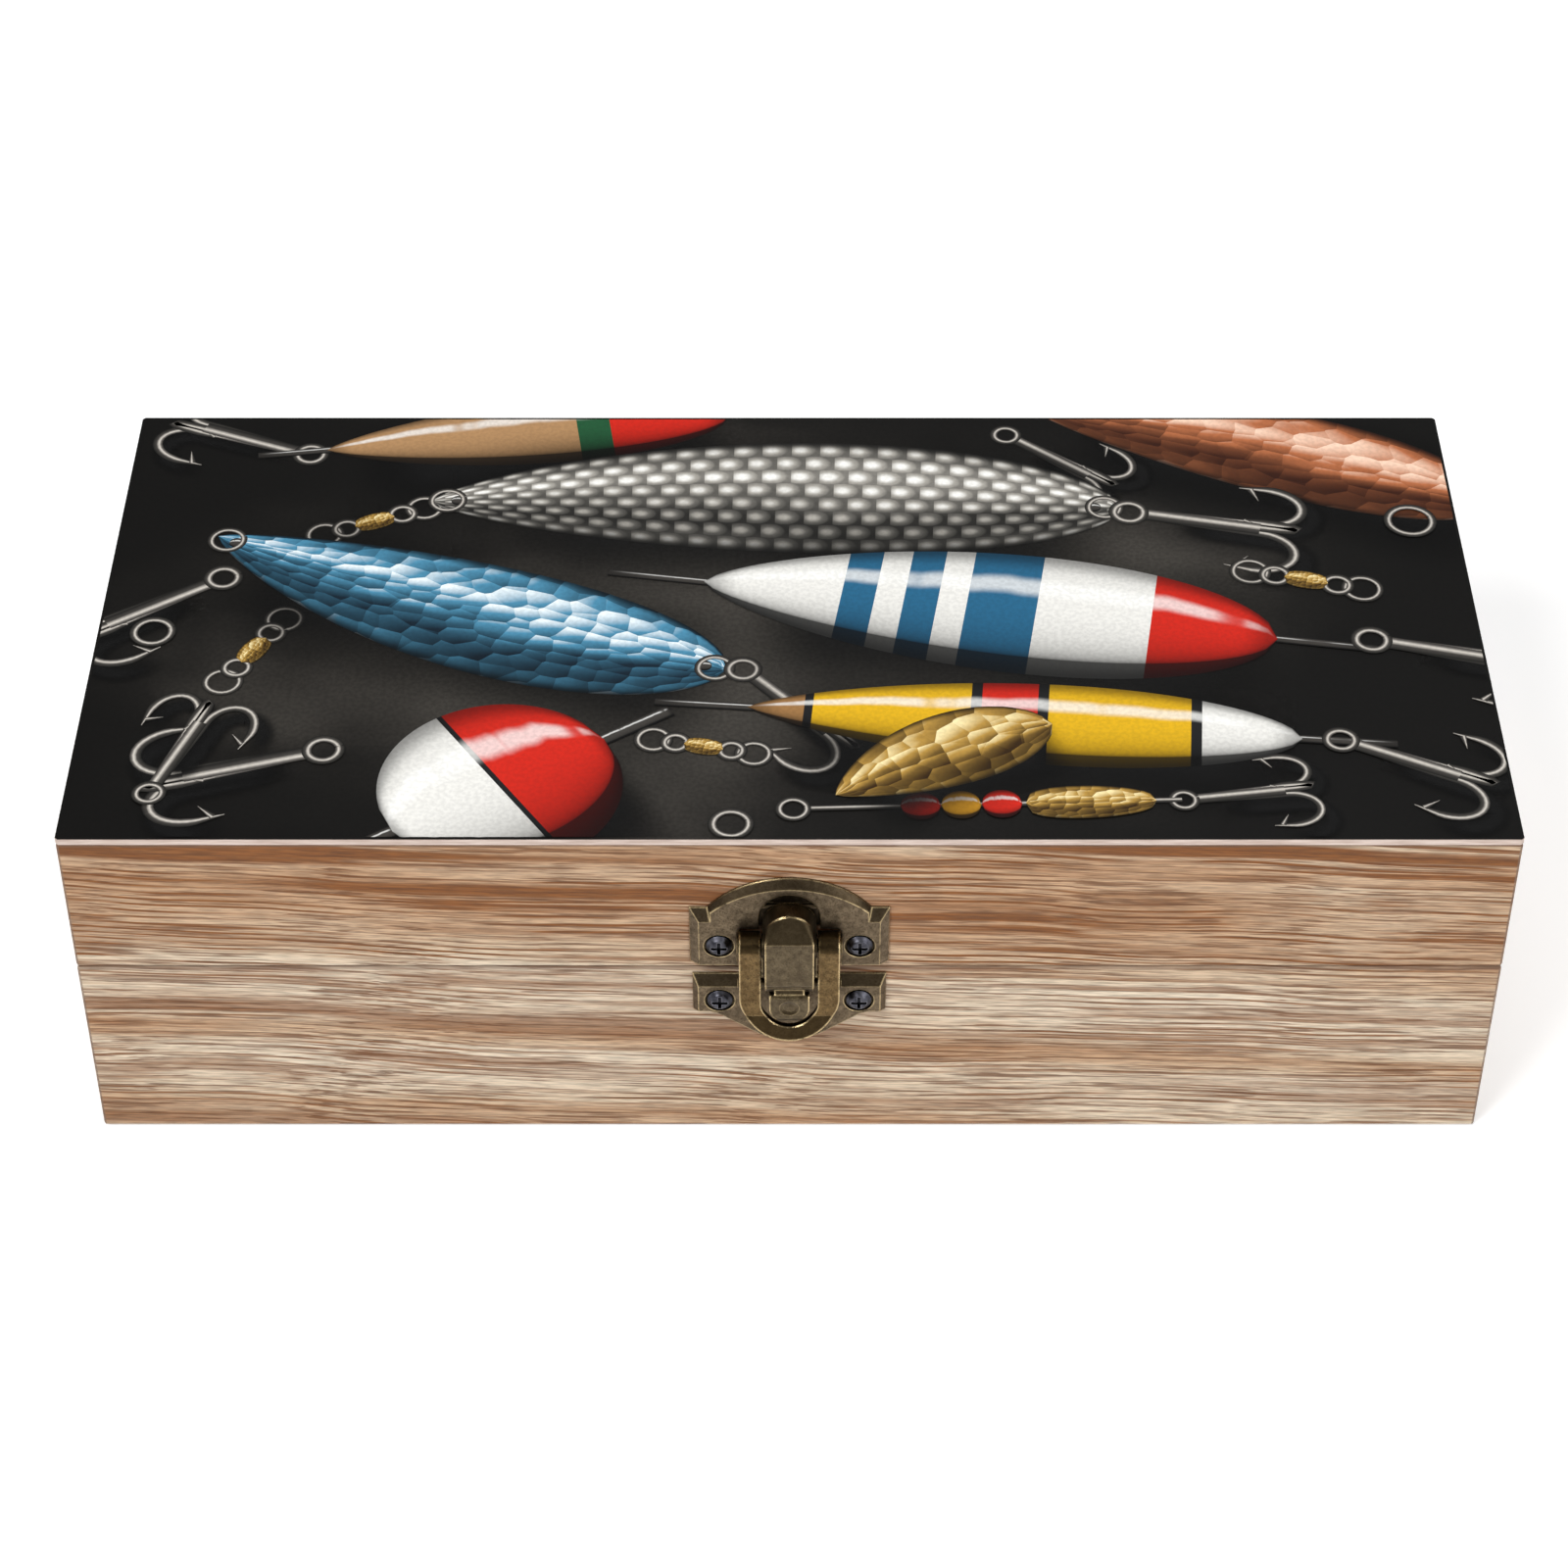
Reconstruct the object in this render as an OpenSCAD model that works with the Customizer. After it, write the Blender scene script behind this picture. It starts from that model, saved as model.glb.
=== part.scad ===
// Small wooden keepsake box with a hinged lid, a printed lid sheet and a sheet-metal toggle latch.
// Millimetres. +Z is up, the latch faces -Y and the hinges are on +Y.
// The origin is the middle of the underside.

/* [Box] */
// Length of the box from left to right
box_w = 200; // [160:1:300]
// Depth of the box from front to back
box_d = 96; // [70:1:160]
// Height of the base, from the table to its rim
base_h = 32.5; // [28:0.5:80]
// Height of the lid with its printed sheet
lid_h = 24.4; // [21:0.1:60]
// Thickness of the front, back and side boards
wall_t = 7; // [6.5:0.5:10]
// Thickness of the bottom board
bottom_t = 4; // [2.5:0.5:6]
// Thickness of the board that closes the lid
lid_board_t = 4; // [2.5:0.5:6]
// Thickness of the printed sheet glued on the lid
sheet_t = 1; // [0.6:0.1:2]
// Depth of the rabbets that the side, bottom and lid boards sit in
rabbet = 3.5; // [2:0.5:4.5]
// Eased edge on the outside of the boards
ease = 0.4; // [0.2:0.1:0.8]
// Gap between the lid's rim and the base's rim
seam = 0.1; // [0.1:0.1:0.6]

/* [Hinges] */
// Length of a hinge along the back
hinge_w = 20; // [14:1:30]
// Distance from an end of the box to the middle of a hinge
hinge_inset = 38; // [22:1:60]
// Height of a leaf, from the hinge line
leaf_h = 11; // [9:0.5:16]
// Thickness of a leaf
leaf_t = 0.8; // [0.5:0.1:1]
// Outer radius of the hinge barrel
barrel_r = 1.6; // [1.4:0.1:2.2]
// Radius of the hinge pin
hinge_pin_r = 0.7; // [0.5:0.1:0.9]

/* [Latch plates] */
// Half width of the catch plate on the lid
catch_half_w = 13.9; // [13:0.1:18]
// Height of the catch plate's square part
catch_h = 10.3; // [9.8:0.1:13]
// Rise of the arch above the square part
arch_rise = 5.5; // [5.2:0.1:8]
// Half width of the arch at its foot
arch_half_w = 11.4; // [10.5:0.1:12.5]
// Half width of the latch plate on the base
plate_half_w = 13.6; // [13:0.1:18]
// Height of the latch plate's wings
wing_h = 7.1; // [6.8:0.1:9]
// Depth of the pointed shield below the wings
shield_h = 5.7; // [4:0.1:8]
// How far the stamped plates stand off the wood
plate_s = 1.2; // [1:0.1:1.6]
// Sheet thickness of the stamped plates
plate_t = 0.7; // [0.5:0.1:0.8]
// Width of the plates' sloping border
border = 1.3; // [0.8:0.1:1.8]
// Height of the catch plate's foot above the seam
catch_foot = 1.7; // [1:0.1:2]
// Drop of the latch plate's top edge below the seam
plate_drop = 0.8; // [0.5:0.1:2]

/* [Lever and link] */
// Half width of the lever
lever_half_w = 7; // [6.6:0.1:8]
// Sheet thickness of the lever
lever_t = 0.8; // [0.6:0.1:1]
// Half width of the lever's window
window_half_w = 4; // [3.8:0.1:4.4]
// Height of the lever's pivot above the seam
pivot_h = 6.8; // [6.6:0.1:7.6]
// Distance of the lever's pivot from the wood
pivot_s = 2.5; // [2.4:0.1:3]
// Outer radius of the lever's rolled shoulders
shoulder_r = 2.1; // [1.8:0.1:2.2]
// Radius of the lever's pivot pin
lever_pin_r = 1; // [0.8:0.1:1.1]
// Height of the lever from its pivot down to its lip
lever_drop = 15.5; // [15.2:0.1:17.5]
// How far the lip flares outwards
lip_flare = 1.35; // [0.8:0.05:2]
// Height of the flared lip
lip_h = 3.7; // [3:0.1:4.5]
// Half width of the link's strap
strap_half_w = 3.4; // [3:0.1:3.5]
// Sheet thickness of the link
strap_t = 0.8; // [0.6:0.1:0.9]
// Distance of the strap's face from the wood
strap_s = 5.6; // [5.4:0.1:6.2]
// Distance from the lever's pivot down to the link's pin
link_drop = 6.5; // [6.3:0.1:7]
// Distance of the link's pin from the wood
link_pin_s = 3.1; // [2.9:0.1:3.3]
// Radius of the link's pin
link_pin_r = 0.6; // [0.5:0.1:0.7]
// Outer radius of the link's eye
eye_r = 1.3; // [1.1:0.1:1.4]
// Radius of the link's round heel
heel_r = 2.8; // [2.2:0.1:2.8]

/* [Screws] */
// Radius of a latch screw's head
head_r = 1.8; // [1.5:0.1:1.9]
// Height of a latch screw's head
head_h = 1.1; // [0.8:0.1:1.3]
// Radius of a latch screw's shank
shank_r = 0.9; // [0.7:0.1:1]
// Length of a latch screw below its head
shank_l = 5.6; // [4:0.1:5.8]
// Radius of a hinge screw's head
small_head_r = 1.3; // [1.1:0.1:1.5]
// Height of a hinge screw's head
small_head_h = 0.5; // [0.4:0.1:0.6]
// Radius of a hinge screw's shank
small_shank_r = 0.6; // [0.5:0.1:0.7]

/* [Hidden] */
$fn = 48;

running = 0.06;     // radial clearance of a pin that turns
air = 0.3;          // clearance between pieces that pass each other
slip = 0.2;         // clearance between knuckles on one pin
over = 1;           // how far a cutter runs past what it cuts

box_top = base_h + seam + lid_h;
lid_foot = base_h + seam;
board_top = box_top - sheet_t;
half_w = box_w / 2;
half_d = box_d / 2;
hinge_x = half_w - hinge_inset;

hinge_s = barrel_r + air;           // distance of the hinge line from the back
knuckles = 5;
knuckle_w = hinge_w / knuckles;
leaf_foot = barrel_r + air;         // where a leaf starts beside the barrel
hinge_screw_x = hinge_w * 0.3;
hinge_screw_h = (leaf_foot + leaf_h) / 2 + 0.3;
hinge_screw_l = wall_t - 1;

catch_top = catch_foot + catch_h;   // top of the catch plate's square part, above the seam
arch_r = (arch_half_w * arch_half_w + arch_rise * arch_rise) / (2 * arch_rise);
arch_centre = catch_top + arch_rise - arch_r;
screw_x = 9.8;                      // both pairs of latch screws, from the middle
catch_screw_h = catch_foot + 3.7;
plate_screw_h = -(plate_drop + 4.5);
bore_r = head_r + air;              // the wide bore that a screw head sits in
bore_floor = plate_s - 0.45;        // the floor of that bore, from the wood

lever_s = pivot_s + shoulder_r - 0.05;      // face of the lever
lever_bottom = pivot_h - lever_drop;
lip_top = lever_bottom + lip_h;
lever_round = lever_bottom + lever_half_w;  // centre of the horseshoe's round end
window_round = lever_bottom + lever_half_w - 1;
flange_back = pivot_s - 0.3;
flange_foot = lever_round - 0.5;

tongue_half_w = window_half_w - 0.15;       // the latch plate's tongue between the shoulders
tongue_s = 0.3;                             // gap between the tongue and the lid's wood
roll_r = shoulder_r - 0.4;                  // the tongue's rolled end

link_h = pivot_h - link_drop;               // height of the link's pin above the seam
strap_foot = link_h + 1.1;
fold_h = pivot_h + roll_r + air + 1;        // where the strap starts to lean back
cheek_h = pivot_h + roll_r + air;           // foot of the beak's cheeks, above the roll
crest_h = fold_h + 0.6;                     // centre of the domed beak's arch
crest_s = strap_s - 1.5;
neck_half_w = strap_half_w + 0.35;
neck_s = plate_s + air;                     // the beak's tip, in front of the catch plate
heel_h = link_h - 3.6;
heel_face_s = link_pin_s + 1.9;
beak_top = crest_h + neck_half_w;

notch_half_w = lever_half_w + 0.25;
notch_top = pivot_h + sqrt(pow(shoulder_r + 0.25, 2) - pow(pivot_s - plate_s, 2));
pocket_half_w = neck_half_w + 0.5;          // the catch plate's pocket around the beak
pocket_centre = beak_top + 1 - pocket_half_w;
pocket_floor = 0.4;
hook_bar_r = 0.4;                           // the bar in the pocket that the beak bears on
hook_bar_h = beak_top - strap_t - air - hook_bar_r;
ridge_h = catch_top - 2;                    // where the catch plate's ridge meets its side borders
ridge_rise = arch_rise + 2 - border - 0.1;
ridge_half_w = catch_half_w - border;
ridge_r = (ridge_half_w * ridge_half_w + ridge_rise * ridge_rise) / (2 * ridge_rise);
ridge_centre = ridge_h + ridge_rise - ridge_r;

function arc(cx, cy, r, from, to, steps) =
    [for (i = [0:steps]) [cx + r * cos(from + (to - from) * i / steps),
                          cy + r * sin(from + (to - from) * i / steps)]];

// A rectangle with its four corners cut off at 45 degrees
module eased_rect(x0, y0, x1, y1, c) {
    polygon([[x0 + c, y0], [x1 - c, y0], [x1, y0 + c], [x1, y1 - c],
             [x1 - c, y1], [x0 + c, y1], [x0, y1 - c], [x0, y0 + c]]);
}

// The whole outside of the base or lid, with every edge eased
module eased_body(z0, z1) {
    intersection() {
        translate([0, 0, z0]) linear_extrude(z1 - z0)
            eased_rect(-half_w, -half_d, half_w, half_d, ease);
        rotate([0, -90, 0]) linear_extrude(box_w, center = true)
            eased_rect(z0, -half_d, z1, half_d, ease);
        rotate([90, 0, 0]) linear_extrude(box_d, center = true)
            eased_rect(-half_w, z0, half_w, z1, ease);
    }
}

module block(x0, y0, z0, x1, y1, z1) {
    translate([x0, y0, z0]) cube([x1 - x0, y1 - y0, z1 - z0]);
}

// On the front face: X to the right, Y up from the seam, Z out of the wood
module on_front() {
    translate([0, -half_d, base_h]) rotate([90, 0, 0]) children();
}

// On the back face at x: Y up from the seam, Z out of the wood
module on_back(x) {
    translate([x, half_d, base_h]) rotate([90, 0, 180]) children();
}

// A side profile, drawn as [distance from the wood, height], spread across X
module across(w) {
    rotate([0, -90, 0]) linear_extrude(w, center = true) children();
}

module rod(r, w, s, h) {
    translate([0, h, s]) rotate([0, 90, 0]) cylinder(r = r, h = w, center = true);
}

// A wood screw that points along -Z, with the underside of its head at Z = 0
module screw(hr, hh, sr, sl) {
    difference() {
        rotate_extrude()
            polygon(concat([[0, -sl], [sr, -sl + 2 * sr], [sr, 0], [hr, 0], [hr, hh * 0.35]],
                           arc(hr * 0.45, hh * 0.35, hh * 0.65, 30, 90, 4), [[0, hh]]));
        for (a = [0, 90]) rotate([0, 0, a])
            translate([-hr * 0.62, -hr * 0.13, hh * 0.4]) cube([hr * 1.24, hr * 0.26, hh]);
    }
}

module screw_hole(sr, sl) {
    rotate_extrude() polygon([[0, -sl], [sr, -sl + 2 * sr], [sr, over], [0, over]]);
}

module at_catch_screws() {
    for (side = [-1, 1]) translate([side * screw_x, catch_screw_h, bore_floor]) children();
}

module at_plate_screws() {
    for (side = [-1, 1]) translate([side * screw_x, plate_screw_h, bore_floor]) children();
}

module at_hinge_screws(way) {
    for (hinge = [-1, 1], side = [-1, 1])
        on_back(hinge * hinge_x)
            translate([side * hinge_screw_x, way * hinge_screw_h, leaf_t]) children();
}

module wood(tone = [0.80, 0.64, 0.49]) {
    color(tone) children();
}

module bronze(tone = [0.42, 0.35, 0.22]) {
    color(tone) children();
}

// Front or back board: the side boards sit in rabbets at its ends
module long_board(way, z0, z1, panel_z0, panel_z1) {
    difference() {
        intersection() {
            block(-half_w, way > 0 ? half_d - wall_t : -half_d, z0,
                  half_w, way > 0 ? half_d : -half_d + wall_t, z1);
            eased_body(z0, z1);
        }
        for (side = [-1, 1])
            translate([side * half_w, way * (half_d - wall_t), (z0 + z1) / 2])
                cube([2 * wall_t, 2 * (wall_t - rabbet), z1 - z0 + 2 * over], center = true);
        block(-half_w + rabbet, -half_d + rabbet, panel_z0, half_w - rabbet, half_d - rabbet, panel_z1);
    }
}

module short_board(way, z0, z1, panel_z0, panel_z1) {
    difference() {
        intersection() {
            block(way > 0 ? half_w - wall_t : -half_w, -half_d + rabbet, z0,
                  way > 0 ? half_w : -half_w + wall_t, half_d - rabbet, z1);
            eased_body(z0, z1);
        }
        block(-half_w + rabbet, -half_d, panel_z0, half_w - rabbet, half_d, panel_z1);
    }
}

module base_long(way) {
    wood() difference() {
        long_board(way, 0, base_h, -over, bottom_t);
        if (way < 0) on_front() at_plate_screws() screw_hole(shank_r, shank_l);
        if (way > 0) at_hinge_screws(-1) screw_hole(small_shank_r, hinge_screw_l);
    }
}

module lid_long(way) {
    wood() difference() {
        long_board(way, lid_foot, board_top, board_top - lid_board_t, board_top + over);
        if (way < 0) on_front() at_catch_screws() screw_hole(shank_r, shank_l);
        if (way > 0) at_hinge_screws(1) screw_hole(small_shank_r, hinge_screw_l);
    }
}

module base_front() { base_long(-1); }
module base_back() { base_long(1); }
module base_left() { wood() short_board(-1, 0, base_h, -over, bottom_t); }
module base_right() { wood() short_board(1, 0, base_h, -over, bottom_t); }

module base_bottom() {
    wood([0.84, 0.72, 0.57])
        block(-half_w + rabbet, -half_d + rabbet, 0, half_w - rabbet, half_d - rabbet, bottom_t);
}

module lid_front() { lid_long(-1); }
module lid_back() { lid_long(1); }
module lid_left() {
    wood() short_board(-1, lid_foot, board_top, board_top - lid_board_t, board_top + over);
}
module lid_right() {
    wood() short_board(1, lid_foot, board_top, board_top - lid_board_t, board_top + over);
}

module lid_board() {
    wood([0.84, 0.72, 0.57])
        block(-half_w + rabbet, -half_d + rabbet, board_top - lid_board_t,
              half_w - rabbet, half_d - rabbet, board_top);
}

module lid_print_sheet() {
    color([0.13, 0.13, 0.13]) translate([0, 0, board_top]) linear_extrude(sheet_t)
        eased_rect(-half_w, -half_d, half_w, half_d, ease);
}

// One hinge leaf. way is -1 for the base's leaf and 1 for the lid's leaf.
module hinge_leaf(way) {
    corner = 2;
    first = way < 0 ? 0 : 1;
    bore = way < 0 ? hinge_pin_r : hinge_pin_r + running;
    left = -hinge_w / 2;
    difference() {
        union() {
            scale_way(way) linear_extrude(leaf_t)
                polygon(concat([[left, leaf_foot]],
                               arc(left + corner, leaf_h - corner, corner, 180, 90, 5),
                               arc(-left - corner, leaf_h - corner, corner, 90, 0, 5),
                               [[-left, leaf_foot]]));
            for (i = [first:2:knuckles - 1]) {
                middle = left + (i + 0.5) * knuckle_w;
                translate([middle, 0, 0]) {
                    rod(barrel_r, knuckle_w - slip, hinge_s, 0);
                    translate([0, way * leaf_foot / 2, leaf_t / 2])
                        cube([knuckle_w - slip, leaf_foot + 0.02, leaf_t], center = true);
                }
            }
        }
        rod(bore, hinge_w + 2 * over, hinge_s, 0);
        for (side = [-1, 1])
            translate([side * hinge_screw_x, way * hinge_screw_h, -over])
                cylinder(r = small_shank_r, h = leaf_t + 2 * over);
    }
}

// Turns a leaf drawn upwards over to the side that it belongs on
module scale_way(way) {
    if (way > 0) children();
    else mirror([0, 1, 0]) children();
}

module hinge_pin() {
    rod(hinge_pin_r, hinge_w + 0.6, hinge_s, 0);
    for (side = [-1, 1])
        translate([side * (hinge_w / 2 + 0.3), 0, 0]) rod(hinge_pin_r + 0.35, 0.6, hinge_s, 0);
}

module hinge_left_base_leaf() { bronze() on_back(-hinge_x) hinge_leaf(-1); }
module hinge_left_lid_leaf() { bronze() on_back(-hinge_x) hinge_leaf(1); }
module hinge_left_pin() { bronze() on_back(-hinge_x) hinge_pin(); }
module hinge_right_base_leaf() { bronze() on_back(hinge_x) hinge_leaf(-1); }
module hinge_right_lid_leaf() { bronze() on_back(hinge_x) hinge_leaf(1); }
module hinge_right_pin() { bronze() on_back(hinge_x) hinge_pin(); }

module hinge_base_screws() {
    color([0.30, 0.28, 0.30]) at_hinge_screws(-1)
        screw(small_head_r, small_head_h, small_shank_r, hinge_screw_l);
}

module hinge_lid_screws() {
    color([0.30, 0.28, 0.30]) at_hinge_screws(1)
        screw(small_head_r, small_head_h, small_shank_r, hinge_screw_l);
}

// A stamped panel whose border slopes down to the wood
module stamped(outer, inner) {
    hull() {
        linear_extrude(0.25) polygon(outer);
        linear_extrude(plate_s) polygon(inner);
    }
}

function catch_square(inset, top) = [
    [-catch_half_w + inset, catch_foot], [catch_half_w - inset, catch_foot],
    [catch_half_w - inset, top], [-catch_half_w + inset, top]];

// A round-topped outline: half width w, and a top of radius r around centre
function round_top(w, r, centre) = let (reach = asin(w / r))
    concat(arc(0, centre, r, 90 - reach, 90 + reach, 24), [[-w, catch_foot + 2], [w, catch_foot + 2]]);

// The opening around the lever's shoulders, with rounded upper corners
module notch_2d(corner) {
    polygon(concat([[-notch_half_w, catch_foot - over]],
                   arc(-notch_half_w + corner, notch_top - corner, corner, 180, 90, 5),
                   arc(notch_half_w - corner, notch_top - corner, corner, 90, 0, 5),
                   [[notch_half_w, catch_foot - over]]));
}

// The lid's plate: an arched stamping with a slot that the link's beak points into
module latch_catch_plate() {
    hollow_s = plate_s - plate_t;
    bronze() on_front() difference() {
        union() {
            difference() {
                union() {
                    stamped(catch_square(0, catch_top), catch_square(border, ridge_h));
                    stamped(round_top(arch_half_w, arch_r, arch_centre),
                            round_top(arch_half_w - 0.4, ridge_r, ridge_centre));
                }
                translate([0, 0, -over]) linear_extrude(hollow_s + over) {
                    polygon(catch_square(border + 0.3, ridge_h - 0.3));
                    polygon(round_top(arch_half_w - 0.8, ridge_r - 0.4, ridge_centre));
                }
            }
            at_catch_screws() translate([0, 0, -bore_floor]) cylinder(r = bore_r + 0.5, h = plate_s);
            linear_extrude(plate_s) arch_2d(pocket_half_w + 0.6, pocket_centre, notch_top);
        }
        // Room for the lever's shoulders, and the pocket with the bar that the beak bears on
        linear_extrude(3 * plate_s, center = true) notch_2d(0.8);
        translate([0, 0, pocket_floor]) difference() {
            linear_extrude(plate_s) arch_2d(pocket_half_w, pocket_centre, catch_foot);
            rod(hook_bar_r, 2 * pocket_half_w + 2, plate_s - pocket_floor - hook_bar_r - 0.1, hook_bar_h);
        }
        at_catch_screws() {
            cylinder(r = bore_r, h = plate_s);
            translate([0, 0, -plate_s]) cylinder(r = shank_r, h = 2 * plate_s);
        }
    }
}

module latch_catch_screws() {
    color([0.27, 0.25, 0.29]) on_front() at_catch_screws() screw(head_r, head_h, shank_r, shank_l);
}

function wings(inset, slope) = let (top = -plate_drop, foot = -plate_drop - wing_h) [
    [-plate_half_w + inset, foot + inset * 0.5], [plate_half_w - inset, foot + inset * 0.5],
    [plate_half_w - inset, top - slope], [-plate_half_w + inset, top - slope]];

function shield(inset) = let (foot = -plate_drop - wing_h) [
    [-plate_half_w + 2.2 + inset, foot + 2], [-plate_half_w + 2.2 + inset, foot + inset * 0.5],
    [-4.4 + inset * 0.4, foot - shield_h + 1 + inset * 0.6], [-2.2, foot - shield_h + 0.2 + inset * 0.6],
    [0, foot - shield_h + inset * 0.6], [2.2, foot - shield_h + 0.2 + inset * 0.6],
    [4.4 - inset * 0.4, foot - shield_h + 1 + inset * 0.6],
    [plate_half_w - 2.2 - inset, foot + inset * 0.5], [plate_half_w - 2.2 - inset, foot + 2]];

// The base's plate, with the rolled tongue that carries the lever
module latch_base_plate() {
    hollow_s = plate_s - plate_t;
    bronze() on_front() difference() {
        union() {
            difference() {
                union() {
                    stamped(wings(0, 0), wings(border * 0.6, 1.8));
                    stamped(shield(0), shield(border * 0.6));
                }
                translate([0, 0, -over]) linear_extrude(hollow_s + over) {
                    polygon(wings(border, 2.4));
                    polygon(shield(border));
                }
            }
            at_plate_screws() translate([0, 0, -bore_floor]) cylinder(r = bore_r + 0.5, h = plate_s);
            block(-tongue_half_w, -plate_drop - 3, tongue_s, tongue_half_w, pivot_h - 0.4,
                  tongue_s + lever_t);
            rod(roll_r, 2 * tongue_half_w, pivot_s, pivot_h);
        }
        rod(lever_pin_r, 2 * tongue_half_w + over, pivot_s, pivot_h);
        at_plate_screws() {
            cylinder(r = bore_r, h = plate_s);
            translate([0, 0, -plate_s]) cylinder(r = shank_r, h = 2 * plate_s);
        }
    }
}

module latch_base_screws() {
    color([0.27, 0.25, 0.29]) on_front() at_plate_screws() screw(head_r, head_h, shank_r, shank_l);
}

module horseshoe_2d(half, centre, top) {
    polygon(concat([[half, top], [-half, top]], arc(0, centre, half, 180, 360, 24)));
}

// The lever: a horseshoe with rolled shoulders, side flanges and a flared finger lip
module latch_lever() {
    shoulder_w = lever_half_w - tongue_half_w - slip;
    bronze([0.46, 0.36, 0.20]) on_front() difference() {
        union() {
            intersection() {
                across(2 * lever_half_w + over)
                    polygon([[lever_s, pivot_h], [lever_s, lip_top], [lever_s + lip_flare, lever_bottom],
                             [lever_s + lip_flare - lever_t, lever_bottom - 0.3],
                             [lever_s - lever_t, lip_top - 0.2], [lever_s - lever_t, pivot_h]]);
                linear_extrude(3 * lever_s) difference() {
                    horseshoe_2d(lever_half_w, lever_round, pivot_h);
                    translate([0, 0.01]) horseshoe_2d(window_half_w, window_round, pivot_h + over);
                }
            }
            for (side = [-1, 1]) {
                translate([side * (lever_half_w - shoulder_w / 2), 0, 0])
                    rod(shoulder_r, shoulder_w, pivot_s, pivot_h);
                translate([side * (lever_half_w - lever_t / 2), 0, 0]) across(lever_t)
                    polygon([[lever_s - 0.1, pivot_h], [flange_back, pivot_h], [flange_back, link_h - 1],
                             [lever_s - 0.1, flange_foot]]);
            }
        }
        rod(lever_pin_r + running, 2 * lever_half_w + over, pivot_s, pivot_h);
        rod(link_pin_r, 2 * lever_half_w + over, link_pin_s, link_h);
    }
}

module latch_lever_pin() {
    bronze([0.36, 0.30, 0.20]) on_front() {
        rod(lever_pin_r, 2 * lever_half_w + 0.4, pivot_s, pivot_h);
        for (side = [-1, 1]) translate([side * (lever_half_w + 0.2), 0, 0])
            rod(lever_pin_r + 0.3, 0.2, pivot_s, pivot_h);
    }
}

module arch_2d(half, centre, foot) {
    polygon(concat(arc(0, centre, half, 0, 180, 20), [[-half, foot], [half, foot]]));
}

// The domed beak, drawn around an outline that thins by inset
module beak(inset, back) {
    hull() {
        translate([0, 0, crest_s - inset - 0.05]) linear_extrude(0.05)
            arch_2d(strap_half_w - inset, crest_h, cheek_h);
        translate([0, 0, back]) linear_extrude(0.05) arch_2d(neck_half_w - inset, crest_h, cheek_h);
        block(-strap_half_w + inset, cheek_h, strap_s - inset - 0.05,
              strap_half_w - inset, fold_h, strap_s - inset);
    }
}

// The heel: a thumb-shaped pad with a rounded face and a shallow dish
module heel() {
    top = heel_h + heel_r - 0.4;
    foot = heel_h - heel_r;
    back = heel_face_s - 1.2;
    soft = 0.5;
    difference() {
        intersection() {
            across(3 * heel_r)
                polygon(concat([[back, top], [back, foot]],
                               arc(heel_face_s - 1.1, foot + 1.1, 1.1, 270, 360, 6),
                               arc(heel_face_s - soft, top - soft, soft, 0, 90, 4)));
            linear_extrude(2 * heel_face_s) horseshoe_2d(heel_r, heel_h, top);
        }
        translate([0, heel_h + 0.2, heel_face_s + 3.1]) sphere(r = 3.4);
    }
}

// The link: a strap with a domed beak above, an eye on the lever and a round heel below
module latch_link() {
    bronze([0.45, 0.37, 0.22]) on_front() difference() {
        union() {
            difference() {
                beak(0, neck_s);
                translate([0, -0.01, 0]) beak(strap_t, neck_s - over);
                translate([0, 0, -0.02]) beak(strap_t, neck_s - over);
            }
            across(2 * strap_half_w)
                polygon(concat([[strap_s, cheek_h + 0.1], [strap_s - strap_t, cheek_h + 0.1],
                                [strap_s - strap_t, strap_foot + 0.5],
                                [link_pin_s, link_h + eye_r - 0.1], [link_pin_s, link_h + 0.3],
                                [strap_s - 0.7, strap_foot]],
                               arc(strap_s - 0.6, strap_foot + 0.6, 0.6, 270, 360, 5)));
            rod(eye_r, 2 * strap_half_w, link_pin_s, link_h);
            // The stem that carries the heel below the eye
            across(2 * heel_r - 1.4)
                polygon([[link_pin_s + 0.2, link_h], [link_pin_s + 0.2, heel_h + 1.2],
                         [heel_face_s - 0.9, heel_h - 0.5], [heel_face_s - 0.2, heel_h - 0.5],
                         [heel_face_s - 0.2, heel_h + 1.4], [link_pin_s + eye_r - 0.2, link_h]]);
            heel();
        }
        rod(link_pin_r + running, 2 * lever_half_w, link_pin_s, link_h);
    }
}

module latch_link_pin() {
    bronze([0.36, 0.30, 0.20]) on_front() {
        rod(link_pin_r, 2 * lever_half_w + 0.3, link_pin_s, link_h);
        for (side = [-1, 1]) translate([side * (lever_half_w + 0.15), 0, 0])
            rod(link_pin_r + 0.25, 0.2, link_pin_s, link_h);
    }
}

base_front();
base_back();
base_left();
base_right();
base_bottom();
lid_front();
lid_back();
lid_left();
lid_right();
lid_board();
lid_print_sheet();
hinge_left_base_leaf();
hinge_left_lid_leaf();
hinge_left_pin();
hinge_right_base_leaf();
hinge_right_lid_leaf();
hinge_right_pin();
hinge_base_screws();
hinge_lid_screws();
latch_catch_plate();
latch_catch_screws();
latch_base_plate();
latch_base_screws();
latch_lever();
latch_lever_pin();
latch_link();
latch_link_pin();
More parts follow.
